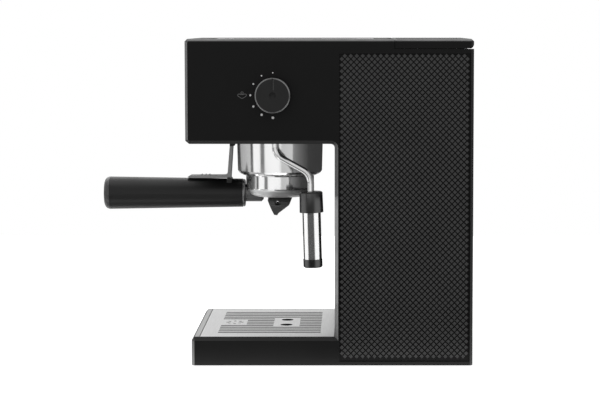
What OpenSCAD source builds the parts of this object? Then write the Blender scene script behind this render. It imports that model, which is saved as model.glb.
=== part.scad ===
// Pump espresso machine with a lever-locked portafilter, a steam wand and a lift-out water tank.
// X runs across the width, Y from front to rear and Z up.
// The origin is the point where the brew axis meets the table.

/* [Casing] */
// Width over the two side panels
body_w = 180; // [176:1:190]
// Height of the top cover above the table
body_h = 300; // [298:1:306]
// Brew axis to the front face of the head
head_reach = 83; // [82:0.5:88]
// Brew axis to the front face of the base
base_reach = 78.3; // [77:0.1:79]
// Brew axis to the front face of the column
column_reach = 53; // [52:0.5:54]
// Brew axis to the rear face
rear_reach = 179.5; // [179:0.5:184]
// Underside of the head above the table
head_z = 204.6; // [204:0.1:206]
// Top of the base above the table
base_z = 27.2; // [26.6:0.1:28]
// Thickness of the side panels
side_t = 4; // [3.8:0.1:4.2]
// Thickness of the other casing panels
panel_t = 3; // [2.6:0.1:3]
// Bevel along the outer edges of the side panels
bevel = 2.5; // [1.8:0.1:2.8]
// Bevel of the side panels around the cup space
notch_bevel = 3.2; // [2.4:0.1:3.4]
// Height of the rubber feet below the casing
foot_h = 1.2; // [1:0.1:1.4]

/* [Water tank] */
// Height of the tank lid
lid_h = 8.6; // [8.4:0.1:9]
// Brew axis to the front face of the tank lid
lid_reach = 107.8; // [107:0.1:109]
// Wall thickness of the tank
tank_t = 2.4; // [2:0.1:2.6]

/* [Brew group] */
// Outer radius of the polished group cover
cover_r = 41; // [40.6:0.1:41.3]
// Outer radius of the portafilter ring
ring_r = 32.4; // [32:0.1:32.8]
// Inner radius of the filter basket
basket_r = 25.5; // [25:0.1:25.6]

/* [Portafilter handle] */
// Height of the handle axis above the table
handle_z = 152.5; // [151:0.5:153]
// Brew axis to the outer end of the handle
handle_reach = 167.7; // [160:0.1:170]
// Radius of the handle at its inner end
handle_r0 = 13.5; // [13:0.1:14]
// Radius of the handle at its outer end
handle_r1 = 15.5; // [15:0.1:16]

/* [Steam wand] */
// Radius of the wand tube
wand_r = 3.1; // [2.8:0.1:3.4]
// Radius of the rubber grip
wand_grip_r = 11; // [10:0.1:11]
// Radius of the steel sleeve
sleeve_r = 8.5; // [8:0.1:8.6]

/* [Controls] */
// Radius of the steam knob
knob_r = 16; // [15:0.5:17]
// Height of the steam knob axis above the table
knob_z = 249; // [247:0.5:251]
// Radius of the push buttons
button_r = 8; // [7:0.5:9]
// Distance between neighbouring push buttons
button_pitch = 34; // [30:1:38]

/* [Drip tray] */
// Number of slots across the grate
slot_count = 13; // [11:2:15]
// Width of one slot
slot_w = 3; // [2:0.5:4]

/* [Hidden] */
$fn = 64;

// Clearances
seam = 0.4;             // between fixed casing parts
slide_gap = 0.6;        // beside a part that slides
cut = 1;                // how far a cutting tool passes a face

// Casing planes
half_w = body_w / 2;
inner_w = half_w - side_t;
fill_w = inner_w - seam / 2;
floor_z = foot_h;
seam_z = body_h - lid_h;
side_top_z = seam_z - seam;
head_corner = [3.5, 3];
base_corner = [2.4, 2.9];
top_corner = 2.3;
notch_r = 3.5;

// Knurled inlay of the column
inlay_front = column_reach + 4.3;
inlay_rear = rear_reach - bevel - 0.6;
inlay_low = 4.7;
inlay_high = side_top_z - 4.2;
inlay_depth = 1.6;

// Tank bay and tank
bulkhead_y = 104.5;
sheet = 1.5;
tank_w = 79;
tank_y = [111, 172];
tank_z = [68, seam_z - 1.6];
tank_shelf_z = 58;
tank_axis_y = 141;
hinge = [rear_reach - 4.5, seam_z + 4.2];   // axis of the tank lid in Y and Z
hinge_pin_r = 1;
hinge_x = 60;
eye_r = 2;

// Drip tray
tray_w = inner_w - slide_gap;
tray_y = [-base_reach, column_reach - slide_gap];
tray_floor_z = floor_z + panel_t + 0.4;
tray_wall = 2.2;
grate_t = 1.6;
rim_w = 4.4;
grate_front = -base_reach + base_corner[0] + rim_w + 0.5;
slot_field_x = 64;
slot_field_y = [-56, 39.6];

// Brew group heights
cover_low = 169.9;
ledge_z = 177.4;
group_low = 174.4;
rim_z = 187;
gasket_z = 188.1;
carrier_z = 212;
group_r = 36.6;
bayonet_r = 34.5;

// Portafilter
bowl_z = 158;
bowl_low = 149.3;
handle_inner = 35.4;
cap_l = 5.6;
clip_w = 14;
clip_t = 2.6;
clip_z = 168.4;         // middle of the strip that lies on the handle
clip_axis = [-48.2, 165.4];
clip_pin_r = 1.3;
clip_boss_r = 2.3;
clip_lean = 2;          // how far the upright leans towards the group
clip_tip_y = 42.3;
spout_x = 15.35;        // middle plane to either spout

// Steam wand
wand_x = 62;
wand_y = -2;
wand_slope = 29;
wand_bend_1 = 12;
wand_bend_2 = 14;
wand_run = 22;
wand_drop_z = 200;
wand_lean = 1.5;

// Steam valve
knob_y = -3;
knob_gap = 0.8;
knob_l = 10.4;

// Boiler and pump
boiler_r = 42;
boiler_z = [carrier_z + 2, 278];
pump_y = 81;
pump_z = 100;
riser = [-58, 76];      // X and Y of the hose where it rises into the head

// Push buttons
button_z = 254;
button_travel = 1.8;
board_y = -66;

// ---------- helpers ----------

// A profile drawn in Y and Z, carried along X from x0 to x1.
module across(x0, x1) {
    translate([x0, 0, 0])
        rotate([90, 0, 90])
            linear_extrude(height = x1 - x0)
                children();
}

// A box given by its two corners.
module block(low, high) {
    translate(low)
        cube(high - low);
}

// A cylinder along +Y that starts at y.
module rod_y(r, y, length, x = 0, z = 0, r2 = -1) {
    translate([x, y, z])
        rotate([-90, 0, 0])
            cylinder(h = length, r1 = r, r2 = r2 < 0 ? r : r2);
}

// A cylinder along +X that starts at x.
module rod_x(r, x, length, y = 0, z = 0, r2 = -1) {
    translate([x, y, z])
        rotate([0, 90, 0])
            cylinder(h = length, r1 = r, r2 = r2 < 0 ? r : r2);
}

// A cylinder along +Z that starts at z.
module rod_z(r, z, length, x = 0, y = 0, r2 = -1) {
    translate([x, y, z])
        cylinder(h = length, r1 = r, r2 = r2 < 0 ? r : r2);
}

// The same shape on both sides of the middle plane.
module both_sides() {
    children();
    mirror([1, 0, 0])
        children();
}

// Points of an arc in a plane, from angle a0 to a1.
function arc(c, r, a0, a1, n = 6) =
    [for (i = [0 : n]) c + r * [cos(a0 + (a1 - a0) * i / n), sin(a0 + (a1 - a0) * i / n)]];

// A smooth run through the given points, with n steps between two of them.
function bend(a, b, c, d, t) =
    0.5 * (2 * b + (c - a) * t + (2 * a - 5 * b + 4 * c - d) * t * t
        + (3 * b - a - 3 * c + d) * t * t * t);
function smooth(p, n = 4) =
    let (k = len(p) - 1)
    concat([for (i = [0 : k - 1], j = [0 : n - 1])
        bend(p[max(i - 1, 0)], p[i], p[i + 1], p[min(i + 2, k)], j / n)], [p[k]]);
function unit(v) = v / norm(v);
function heading(p, i) = unit(p[min(i + 1, len(p) - 1)] - p[max(i - 1, 0)]);

// A round hose of radius r along the points p. side is a direction that the hose never takes.
module hose(p, r, side, sides = 10) {
    n = len(p);
    rings = [for (i = [0 : n - 1])
        let (t = heading(p, i), u = unit(cross(t, side)), v = cross(t, u))
        for (k = [0 : sides - 1])
            p[i] + r * (cos(360 * k / sides) * u + sin(360 * k / sides) * v)];
    walls = [for (i = [0 : n - 2], k = [0 : sides - 1])
        let (a = i * sides + k, b = i * sides + (k + 1) % sides)
        [a, a + sides, b + sides, b]];
    start = [[for (k = [0 : sides - 1]) k]];
    end = [[for (k = [sides - 1 : -1 : 0]) (n - 1) * sides + k]];
    polyhedron(points = rings, faces = concat(walls, start, end), convexity = 6);
}

// ---------- casing ----------

// The cup space in Y and Z, grown by e on its closed sides.
function notch_outline(e) = concat(
    [[-head_reach - 20, base_z - e], [column_reach + e, base_z - e]],
    arc([column_reach - notch_r, head_z - notch_r], notch_r + e, 0, 90, 5),
    [[-head_reach - 20, head_z + e]]);

// The C-shaped outline of a side panel.
side_outline = concat(
    [[-base_reach, floor_z], [rear_reach, floor_z], [rear_reach, side_top_z],
        [lid_reach - seam, side_top_z], [lid_reach - seam, body_h],
        [-head_reach + top_corner, body_h], [-head_reach, body_h - top_corner],
        [-head_reach, head_z + head_corner[1]], [-head_reach + head_corner[0], head_z]],
    arc([column_reach - notch_r, head_z - notch_r], notch_r, 90, 0, 5),
    [[column_reach, base_z], [-base_reach + base_corner[0], base_z],
        [-base_reach, base_z - base_corner[1]]]);

// A 45 degree cut along the outer edge of the right side panel, from point p to point q.
module edge_bevel(p, q, c) {
    over = 6;
    a = atan2(q[1] - p[1], q[0] - p[0]);
    translate([0, p[0], p[1]])
        rotate([a, 0, 0])
            translate([0, -over, 0])
                rotate([-90, 0, 0])
                    linear_extrude(height = norm(q - p) + 2 * over)
                        polygon([[half_w - c - cut, cut], [half_w + cut, cut],
                            [half_w + cut, -c - cut]]);
}

module side_panel_bevels() {
    o = side_outline;
    n = len(o);
    edge_bevel(o[1], o[2], bevel);
    edge_bevel(o[4], o[5], bevel);
    edge_bevel(o[5], o[6], bevel);
    edge_bevel(o[6], o[7], bevel);
    edge_bevel(o[7], o[8], bevel);
    edge_bevel(o[n - 2], o[n - 1], bevel);
    edge_bevel(o[n - 1], o[0], bevel);
    // The three edges around the cup space share one flared cut.
    hull() {
        across(half_w - notch_bevel - 0.001, half_w - notch_bevel)
            polygon(notch_outline(0));
        across(half_w + cut - 0.001, half_w + cut)
            polygon(notch_outline(notch_bevel + cut));
    }
}

// Screw bosses at the rear edge of a side panel.
screw_heights = [22, 150, 272];
screw_x = inner_w - 4.1;
boss_w = 6.6;
boss_l = 8;

module side_panel() {
    difference() {
        union() {
            across(inner_w, half_w)
                polygon(side_outline);
            for (z = screw_heights)
                block([inner_w - boss_w, rear_reach - panel_t - seam - boss_l, z - 5],
                    [inner_w + 0.5, rear_reach - panel_t - seam, z + 5]);
        }
        side_panel_bevels();
        block([half_w - inlay_depth, inlay_front, inlay_low],
            [half_w + cut, inlay_rear, inlay_high]);
        for (z = screw_heights)
            rod_y(1.3, rear_reach - panel_t - seam - boss_l - cut, boss_l + 2 * cut,
                x = screw_x, z = z);
    }
}

module side_panel_right() {
    color([0.11, 0.11, 0.11])
        difference() {
            side_panel();
            rod_x(6.5, inner_w - cut, side_t + 2 * cut, y = knob_y, z = knob_z);
        }
}

module side_panel_left() {
    color([0.11, 0.11, 0.11])
        mirror([1, 0, 0])
            side_panel();
}

// A plain plate that fills the recess of the column up to the peaks of the knurl.
module texture_panel() {
    block([half_w - inlay_depth, inlay_front + 0.1, inlay_low + 0.1],
        [half_w - 0.15, inlay_rear - 0.1, inlay_high - 0.1]);
}

module texture_panel_right() {
    color([0.17, 0.17, 0.17])
        texture_panel();
}

module texture_panel_left() {
    color([0.17, 0.17, 0.17])
        mirror([1, 0, 0])
            texture_panel();
}

cup_plate_x = 70;
cup_plate_y = [-62, 90];
cup_plate_drop = 1.8;

module top_cover() {
    rear = lid_reach - seam;
    color([0.1, 0.1, 0.1])
        difference() {
            union() {
                block([-fill_w, -head_reach + panel_t + seam, body_h - panel_t],
                    [fill_w, rear, body_h]);
                // Skirt along the tank bay, and stiffening ribs.
                block([-fill_w, rear - sheet, body_h - 12], [fill_w, rear, body_h - panel_t]);
                for (x = [-50, 50])
                    block([x - 1, -head_reach + 12, body_h - 9], [x + 1, rear - 12, body_h - panel_t]);
            }
            block([-cup_plate_x - 0.5, cup_plate_y[0] - 0.5, body_h - cup_plate_drop],
                [cup_plate_x + 0.5, cup_plate_y[1] + 0.5, body_h + cut]);
            // Finger scoop in front of the tank lid.
            translate([0, rear + 3, body_h + 10])
                rotate([0, 90, 0])
                    cylinder(h = 44, r = 13, center = true);
        }
}

// Pressed steel plate on which cups are warmed.
module cup_plate() {
    color([0.72, 0.72, 0.72])
        difference() {
            block([-cup_plate_x, cup_plate_y[0], body_h - cup_plate_drop + 0.1],
                [cup_plate_x, cup_plate_y[1], body_h - 0.5]);
            for (i = [-4 : 4])
                block([i * 14 - 1.5, cup_plate_y[0] + 16, body_h - 4],
                    [i * 14 + 1.5, cup_plate_y[1] - 16, body_h + cut]);
        }
}

module head_front_panel() {
    y = -head_reach;
    z0 = head_z;
    color([0.1, 0.1, 0.1])
        difference() {
            across(-fill_w, fill_w)
                polygon([[y, z0 + head_corner[1]], [y + head_corner[0], z0], [y + 8, z0],
                    [y + 8, z0 + panel_t], [y + head_corner[0] + 1, z0 + panel_t],
                    [y + panel_t, z0 + head_corner[1] + 1.4], [y + panel_t, body_h],
                    [y + top_corner, body_h], [y, body_h - top_corner]]);
            for (i = [-1 : 1])
                rod_y(button_r + 0.4, y - cut, panel_t + 2 * cut, x = i * button_pitch, z = button_z);
        }
}

module head_bottom_plate() {
    color([0.1, 0.1, 0.1])
        difference() {
            block([-fill_w, -head_reach + 8 + seam, head_z],
                [fill_w, bulkhead_y - seam, head_z + panel_t]);
            rod_z(group_r + 0.6, head_z - cut, panel_t + 2 * cut);
            rod_z(6, head_z - cut, panel_t + 2 * cut, x = wand_x, y = wand_y);
            rod_z(5, head_z - cut, panel_t + 2 * cut, x = riser[0], y = riser[1]);
        }
}

module column_front_panel() {
    color([0.12, 0.12, 0.12])
        block([-fill_w, column_reach, floor_z + panel_t + 0.2],
            [fill_w, column_reach + panel_t, head_z - seam / 2]);
}

gland = [-58, 26];
gland_r = 9;

module rear_panel() {
    y = rear_reach - panel_t;
    color([0.1, 0.1, 0.1])
        difference() {
            block([-fill_w, y, floor_z], [fill_w, rear_reach, seam_z - 1.4]);
            for (i = [-6 : 6])
                block([i * 8 - 1.6, y - cut, 70], [i * 8 + 1.6, rear_reach + cut, 112]);
            rod_y(gland_r + 0.1, y - cut, panel_t + 2 * cut, x = gland[0], z = gland[1]);
            both_sides()
                for (z = screw_heights) {
                    rod_y(1.7, y - cut, panel_t + 2 * cut, x = screw_x, z = z);
                    rod_y(3.2, rear_reach - 1.6, panel_t, x = screw_x, z = z);
                }
        }
}

foot_x = 68;
foot_y = [-58, 158];
foot_r = 9;

module base_pan() {
    color([0.1, 0.1, 0.1])
        difference() {
            block([-fill_w, -base_reach + 0.3, floor_z],
                [fill_w, rear_reach - panel_t - seam, floor_z + panel_t]);
            both_sides()
                for (y = foot_y)
                    rod_z(4.1, floor_z - cut, panel_t + 2 * cut, x = foot_x, y = y);
            // Air inlets below the pump.
            for (i = [-5 : 5])
                block([i * 8 - 1.6, 64, floor_z - cut], [i * 8 + 1.6, 96, floor_z + panel_t + cut]);
        }
}

module rubber_feet() {
    color([0.06, 0.06, 0.06])
        both_sides()
            for (y = foot_y) {
                rod_z(foot_r, 0, floor_z, x = foot_x, y = y);
                rod_z(4, floor_z, panel_t - 0.1, x = foot_x, y = y);
            }
}

module casing_screws() {
    color([0.45, 0.45, 0.45])
        both_sides()
            for (z = screw_heights)
                difference() {
                    union() {
                        rod_y(2.9, rear_reach - 1.6, 1.5, x = screw_x, z = z);
                        rod_y(1.25, rear_reach - panel_t - boss_l, boss_l + 1.5,
                            x = screw_x, z = z);
                    }
                    for (a = [0, 90])
                        translate([screw_x, rear_reach, z])
                            rotate([0, a, 0])
                                cube([3.4, 1.4, 0.7], center = true);
                }
}

// Cable gland in the rear panel, flush with its face.
module cord_gland() {
    length = 7.4;
    color([0.05, 0.05, 0.05])
        difference() {
            union() {
                rod_y(gland_r, rear_reach - 0.2 - length, length, x = gland[0], z = gland[1]);
                rod_y(gland_r + 2.5, rear_reach - 0.2 - length, length - panel_t,
                    x = gland[0], z = gland[1]);
            }
            rod_y(3.75, rear_reach - length - cut, length + 2 * cut, x = gland[0], z = gland[1]);
        }
}

// Folded steel frame: bulkhead, head carrier and tank shelf.
module inner_frame() {
    w = inner_w - 2;
    low = floor_z + panel_t;
    color([0.6, 0.6, 0.6])
        difference() {
            union() {
                block([-w, bulkhead_y, low], [w, bulkhead_y + sheet, seam_z - 4]);
                block([-w, -head_reach + 6, carrier_z], [w, bulkhead_y, carrier_z + sheet]);
                block([-w, bulkhead_y, tank_shelf_z - sheet],
                    [w, rear_reach - panel_t - 12, tank_shelf_z]);
                block([-w, bulkhead_y - 12, low], [w, bulkhead_y, low + sheet]);
            }
            rod_z(group_r + 0.4, carrier_z - cut, sheet + 2 * cut);
            rod_z(9, carrier_z - cut, sheet + 2 * cut, x = wand_x, y = wand_y);
            rod_z(8, tank_shelf_z - sheet - cut, sheet + 2 * cut, y = tank_axis_y);
            // Openings for the hoses, the wiring and the buttons' board.
            rod_y(9, bulkhead_y - cut, sheet + 2 * cut, z = 32);
            rod_z(9, carrier_z - cut, sheet + 2 * cut, x = riser[0], y = riser[1]);
            block([-w + 14, bulkhead_y - cut, 232], [w - 14, bulkhead_y + sheet + cut, 262]);
        }
}

// ---------- water tank ----------

module hinge_ears() {
    for (s = [-1, 1])
        translate([s * hinge_x, 0, 0]) {
            rod_x(eye_r, -3, 6, y = hinge[0], z = hinge[1]);
            across(-3, 3)
                polygon([[tank_y[1] - tank_t, tank_z[1] - 6], [tank_y[1] - tank_t, tank_z[1]],
                    [hinge[0] - 1.4, hinge[1]], [hinge[0] + 1.4, hinge[1] - 0.4],
                    [tank_y[1] + 1.6, tank_z[1] - 1], [tank_y[1] - 0.4, tank_z[1] - 6]]);
        }
}

module water_tank() {
    color([0.75, 0.8, 0.84, 0.45])
        difference() {
            union() {
                block([-tank_w, tank_y[0], tank_z[0]], [tank_w, tank_y[1], tank_z[1]]);
                rod_z(12, tank_z[0] - 1.4, 1.8, y = tank_axis_y);
                hinge_ears();
            }
            block([-tank_w + tank_t, tank_y[0] + tank_t, tank_z[0] + tank_t],
                [tank_w - tank_t, tank_y[1] - tank_t, tank_z[1] + cut]);
            rod_z(7, tank_z[0] - 3, 8, y = tank_axis_y);
            rod_x(hinge_pin_r + 0.05, -hinge_x - 8, 2 * hinge_x + 16, y = hinge[0], z = hinge[1]);
        }
}

// Spring-loaded outlet valve in the tank's floor.
module tank_valve() {
    color([0.2, 0.2, 0.2])
        union() {
            rod_z(6.95, tank_z[0] - 1.4, 4, y = tank_axis_y);
            rod_z(9.5, tank_z[0] + tank_t, 3, y = tank_axis_y);
            rod_z(5, tank_z[0] - 6, 4.6, y = tank_axis_y);
            rod_z(3, tank_z[0] + tank_t + 3, 8, y = tank_axis_y);
        }
}

module tank_seat() {
    color([0.25, 0.25, 0.25])
        difference() {
            union() {
                rod_z(14, tank_shelf_z, 2, y = tank_axis_y);
                rod_z(10.5, tank_shelf_z, 7, y = tank_axis_y);
                rod_z(7.9, tank_shelf_z - 6, 6, y = tank_axis_y);
                rod_z(3, tank_shelf_z - 16, 10, y = tank_axis_y);
            }
            rod_z(7.4, tank_shelf_z + 1.5, 8, y = tank_axis_y);
            rod_z(1.6, tank_shelf_z - 18, 22, y = tank_axis_y);
        }
}

module tank_seal() {
    color([0.3, 0.12, 0.1])
        translate([0, tank_axis_y, tank_shelf_z + 3.6])
            difference() {
                cylinder(h = 2.4, r = 7.35);
                translate([0, 0, -cut])
                    cylinder(h = 2.4 + 2 * cut, r = 5.4);
            }
}

// Hollow lid over the whole width, hinged at its rear edge.
module tank_lid() {
    wall = 2;
    r = rear_reach - hinge[0];
    c = 2.3;
    front = lid_reach;
    outline = concat(
        [[front, seam_z], [hinge[0], seam_z]],
        arc(hinge, r, -68, 0, 6),
        [[rear_reach, body_h - c], [rear_reach - c, body_h], [front + 1.2, body_h],
            [front, body_h - 1.2]]);
    color([0.1, 0.1, 0.1])
        difference() {
            union() {
                difference() {
                    across(-half_w, half_w)
                        polygon(outline);
                    block([-half_w + 2.6, front + wall, seam_z - cut],
                        [half_w - 2.6, rear_reach - wall - 0.1, body_h - wall]);
                    for (s = [-1, 1])
                        block([s * hinge_x - 3.6, hinge[0] - 7, seam_z - cut],
                            [s * hinge_x + 3.6, rear_reach + cut, hinge[1] + eye_r + 0.4]);
                }
                for (s = [-1, 1], k = [-1, 1])
                    across(s * hinge_x + k * 5.2 - 1.6, s * hinge_x + k * 5.2 + 1.6)
                        polygon([[hinge[0] - 2, hinge[1] - 2], [hinge[0] + 2, hinge[1] - 2],
                            [rear_reach - 1, hinge[1] + 1], [rear_reach - 1, body_h - 1],
                            [hinge[0] - 2, body_h - 1]]);
            }
            for (s = [-1, 1])
                rod_x(hinge_pin_r, s * hinge_x - 6.8, 13.6, y = hinge[0], z = hinge[1]);
            lid_end_bevels(c);
        }
}

// Bevels where the lid's top and rear meet its two ends.
module lid_end_bevels(c) {
    both_sides() {
        edge_bevel([rear_reach, body_h], [lid_reach, body_h], c);
        edge_bevel([rear_reach, seam_z - 4], [rear_reach, body_h], c);
    }
}

module lid_hinge_pins() {
    color([0.7, 0.7, 0.7])
        for (s = [-1, 1])
            rod_x(hinge_pin_r, s * hinge_x - 6.8, 13.6, y = hinge[0], z = hinge[1]);
}

// ---------- drip tray ----------

module drip_tray() {
    y0 = tray_y[0];
    top = base_z - grate_t - seam;
    color([0.1, 0.1, 0.1])
        difference() {
            union() {
                difference() {
                    block([-tray_w, y0 + 1, tray_floor_z], [tray_w, tray_y[1], top]);
                    block([-tray_w + tray_wall, y0 + tray_wall + 0.6, tray_floor_z + 2],
                        [tray_w - tray_wall, tray_y[1] - tray_wall, top + cut]);
                }
                // Front wall with its cut corner and the flange that carries the trim.
                across(-tray_w, tray_w)
                    polygon([[y0, tray_floor_z], [y0 + tray_wall + 0.6, tray_floor_z],
                        [y0 + tray_wall + 0.6, base_z - 3], [grate_front - 0.5, base_z - 3],
                        [grate_front - 0.5, base_z - 0.8], [y0 + base_corner[0] - 0.6, base_z - 0.8],
                        [y0, base_z - base_corner[1]]]);
            }
            // Finger pull below the front edge.
            translate([0, y0 - 2, tray_floor_z - 1])
                rotate([0, 90, 0])
                    cylinder(h = 60, r = 3.8, center = true);
        }
}

// Brushed strip on top of the tray's front wall.
module tray_trim() {
    y = tray_y[0] + base_corner[0];
    color([0.66, 0.66, 0.66])
        block([-tray_w, y, base_z - 0.7], [tray_w, y + rim_w - 0.2, base_z]);
}

// A slot along Y, centred at x, from y0 to y1.
module grate_slot(x, y0, y1) {
    block([x - slot_w / 2, y0, base_z - grate_t - cut], [x + slot_w / 2, y1, base_z + cut]);
}

patch_x = 25;       // half width of the plain patch under the spouts
patch_y = [-6.2, 18.8];
mark_x = 16;        // half width of the plain patch at the front
mark_l = 24;

module drip_grate() {
    pitch = 2 * (slot_field_x - slot_w / 2) / (slot_count - 1);
    half = (slot_count - 1) / 2;
    f = slot_field_y;
    skirt = 1.2;
    w = tray_w - tray_wall - 0.5;
    y1 = tray_y[1] - tray_wall - 0.5;
    y0 = grate_front + 1;
    color([0.78, 0.78, 0.78])
        difference() {
            union() {
                block([-tray_w, grate_front, base_z - grate_t], [tray_w, tray_y[1], base_z]);
                difference() {
                    block([-w, y0, base_z - 5], [w, y1, base_z - grate_t]);
                    block([-w + skirt, y0 + skirt, base_z - 6], [w - skirt, y1 - skirt, base_z - 1]);
                }
            }
            for (i = [-half : half])
                let (x = i * pitch)
                if (abs(x) > patch_x)
                    grate_slot(x, f[0], f[1]);
                else {
                    grate_slot(x, abs(x) > mark_x ? f[0] : f[0] + mark_l, patch_y[0]);
                    grate_slot(x, patch_y[1], f[1]);
                }
            for (s = [-1, 1])
                rod_z(5.75, base_z - 3, 6, x = s * spout_x, y = (patch_y[0] + patch_y[1]) / 2);
            for (k = [0 : 7])
                rod_z(1.4, base_z - 3, 6, x = 7 * cos(45 * k), y = f[0] + mark_l / 2 + 7 * sin(45 * k));
        }
}

// ---------- brew group ----------

module group_cover() {
    outer = [[cover_r, head_z - 0.2], [cover_r - 0.8, cover_low + 4.6], [cover_r - 2, cover_low + 2.7],
        [cover_r - 4, cover_low + 1.2], [33.8, cover_low]];
    inner = [[33.8, cover_low + 1.6], [cover_r - 4.2, cover_low + 3], [cover_r - 2.6, cover_low + 5.2],
        [cover_r - 2, head_z - 0.2]];
    color([0.85, 0.85, 0.85])
        rotate_extrude($fn = 96)
            polygon(concat(outer, inner));
}

// Bayonet ring and dispersion block, bolted below the boiler.
module group_head() {
    color([0.62, 0.62, 0.6])
        difference() {
            rotate_extrude()
                polygon([[group_r - 1.5, group_low], [group_r, group_low + 1.5],
                    [group_r, carrier_z + sheet], [0, carrier_z + sheet], [0, gasket_z + 1.9],
                    [27, gasket_z + 1.9], [27, 194.4], [bayonet_r, 194.4], [bayonet_r, ledge_z],
                    [31.7, ledge_z], [31.7, group_low]]);
            // Two gaps in the ledge let the lugs in.
            for (a = [90, 270])
                rotate([0, 0, a - 28])
                    translate([0, 0, group_low - cut])
                        rotate_extrude(angle = 56)
                            translate([31, 0])
                                square([bayonet_r - 31, ledge_z - group_low + 2 * cut]);
            rod_z(2.5, gasket_z, 40);
        }
}

module group_gasket() {
    color([0.12, 0.12, 0.12])
        translate([0, 0, gasket_z])
            difference() {
                cylinder(h = 6, r = bayonet_r - 0.1);
                translate([0, 0, -cut])
                    cylinder(h = 6 + 2 * cut, r = 28);
            }
}

module shower_screen() {
    color([0.75, 0.75, 0.75])
        translate([0, 0, gasket_z + 0.8])
            difference() {
                cylinder(h = 1, r = 26.4);
                for (r = [8, 13, 18, 23], k = [0 : 2 * r - 1])
                    if (k % 2 == 0)
                        rotate([0, 0, 180 * k / r])
                            translate([r, 0, -cut])
                                cylinder(h = 3, r = 0.8, $fn = 16);
                translate([0, 0, -cut])
                    cylinder(h = 3, r = 2.6);
            }
}

module shower_screw() {
    color([0.65, 0.65, 0.65])
        difference() {
            union() {
                rod_z(4, gasket_z - 0.6, 1.3);
                rod_z(2.4, gasket_z + 0.7, 14);
            }
            block([-3.4, -0.5, gasket_z - 2], [3.4, 0.5, gasket_z - 0.1]);
        }
}

// ---------- portafilter ----------

module portafilter_body() {
    cup = 27.3;
    color([0.8, 0.8, 0.8])
        difference() {
            union() {
                rotate_extrude($fn = 96)
                    polygon(concat([[0, bowl_low], [18, bowl_low]],
                        [for (a = [15 : 15 : 90])
                            [19 + (ring_r - 19.4) * sin(a), bowl_z - (bowl_z - bowl_low) * cos(a)]],
                        [[ring_r, bowl_z], [ring_r, 171.4], [31.2, 171.4], [31.2, rim_z], [0, rim_z]]));
                for (a = [135, 315])
                    rotate([0, 0, a - 25])
                        translate([0, 0, ledge_z + 0.4])
                            rotate_extrude(angle = 50)
                                translate([30, 0])
                                    square([bayonet_r - 0.4 - 30, 3.2]);
                portafilter_neck();
            }
            rotate_extrude()
                polygon([[0, bowl_low - cut], [4.5, bowl_low - cut], [4.5, bowl_low + 5],
                    [22, bowl_low + 9], [cup, 162], [cup, rim_z + cut], [0, rim_z + cut]]);
            rod_y(3.55, -handle_inner - cut, 17, z = handle_z);
        }
}

// Short arm that carries the handle.
module portafilter_neck() {
    difference() {
        union() {
            rod_y(8.3, -handle_inner + 2.6, 15, z = handle_z);
            rod_y(8.3, -handle_inner + 17.6, 2, z = handle_z, r2 = 6.3);
        }
        // The neck stays below and in front of the cup.
        rod_z(ring_r - 1.4, bowl_z + 1, 20);
    }
}

module filter_basket() {
    wall = 0.8;
    r = basket_r + wall;
    low = 164;
    color([0.75, 0.75, 0.75])
        difference() {
            rotate_extrude()
                polygon([[0, low], [r - 2, low], [r, low + 2], [r, rim_z], [30.2, rim_z],
                    [30.2, rim_z + 0.7], [basket_r, rim_z + 0.7], [basket_r, low + 2 + wall],
                    [basket_r - 2, low + wall], [0, low + wall]]);
            for (r = [4, 8, 12, 16, 20], k = [0 : r - 1])
                rotate([0, 0, 360 * k / r])
                    translate([r, 0, low - cut])
                        cylinder(h = 3, r = 0.7, $fn = 16);
        }
}

// Round wire spring that grips the basket inside the portafilter.
module basket_spring() {
    color([0.6, 0.6, 0.6])
        translate([0, 0, 180])
            rotate([0, 0, 20])
                rotate_extrude(angle = 320)
                    translate([26.8, 0])
                        circle(r = 0.42, $fn = 16);
}

// Cast twin spout: a threaded hub and two open gutters that turn down.
module twin_spout() {
    spread = spout_x;
    color([0.5, 0.5, 0.5])
        difference() {
            union() {
                rod_z(8, bowl_low - 5.2, 5.1);
                rod_z(4.3, bowl_low - 0.2, 5.6);
                intersection() {
                    spout_side();
                    spout_front(spread);
                }
            }
            rod_z(2.6, bowl_low - 6, 14);
            // Gutters inside the two arms, open above.
            for (s = [-1, 1])
                hull() {
                    translate([0, 0, bowl_low - 4.6])
                        rotate([90, 0, 0])
                            cylinder(h = 7, r = 2.4, center = true, $fn = 32);
                    translate([s * (spread + 1), 0, bowl_low - 8.4])
                        rotate([90, 0, 0])
                            cylinder(h = 7, r = 2.4, center = true, $fn = 32);
                }
            for (s = [-1, 1])
                translate([s * (spread + 0.6), 0, 0])
                    rod_z(2.4, bowl_low - 20, 14);
            // Cross hole through the hub and both arms.
            rod_x(1.9, -spread - 8, 2 * spread + 16, y = -2.4, z = bowl_low - 5.4);
        }
}

// Outline of the spout seen from the side.
module spout_side() {
    across(-30, 30)
        polygon([[-11, bowl_low - 0.6], [10.6, bowl_low - 0.6], [11.2, bowl_low - 2.4],
            [9.2, bowl_low - 7], [-0.6, bowl_low - 14.4], [-2.2, bowl_low - 16.6],
            [-5, bowl_low - 16.2], [-7.2, bowl_low - 12], [-11.4, bowl_low - 3]]);
}

// Outline of the spout seen from the front.
module spout_front(spread) {
    outer = spread + 5;
    rotate([90, 0, 0])
        linear_extrude(height = 40, center = true)
            polygon([[-9, bowl_low - 0.6], [9, bowl_low - 0.6], [spread, bowl_low - 4],
                [outer, bowl_low - 8.5], [outer, bowl_low - 17], [spread - 4, bowl_low - 17],
                [spread - 5, bowl_low - 12], [6, bowl_low - 9], [-6, bowl_low - 9],
                [-spread + 5, bowl_low - 12], [-spread + 4, bowl_low - 17],
                [-outer, bowl_low - 17], [-outer, bowl_low - 8.5], [-spread, bowl_low - 4]]);
}

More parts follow.
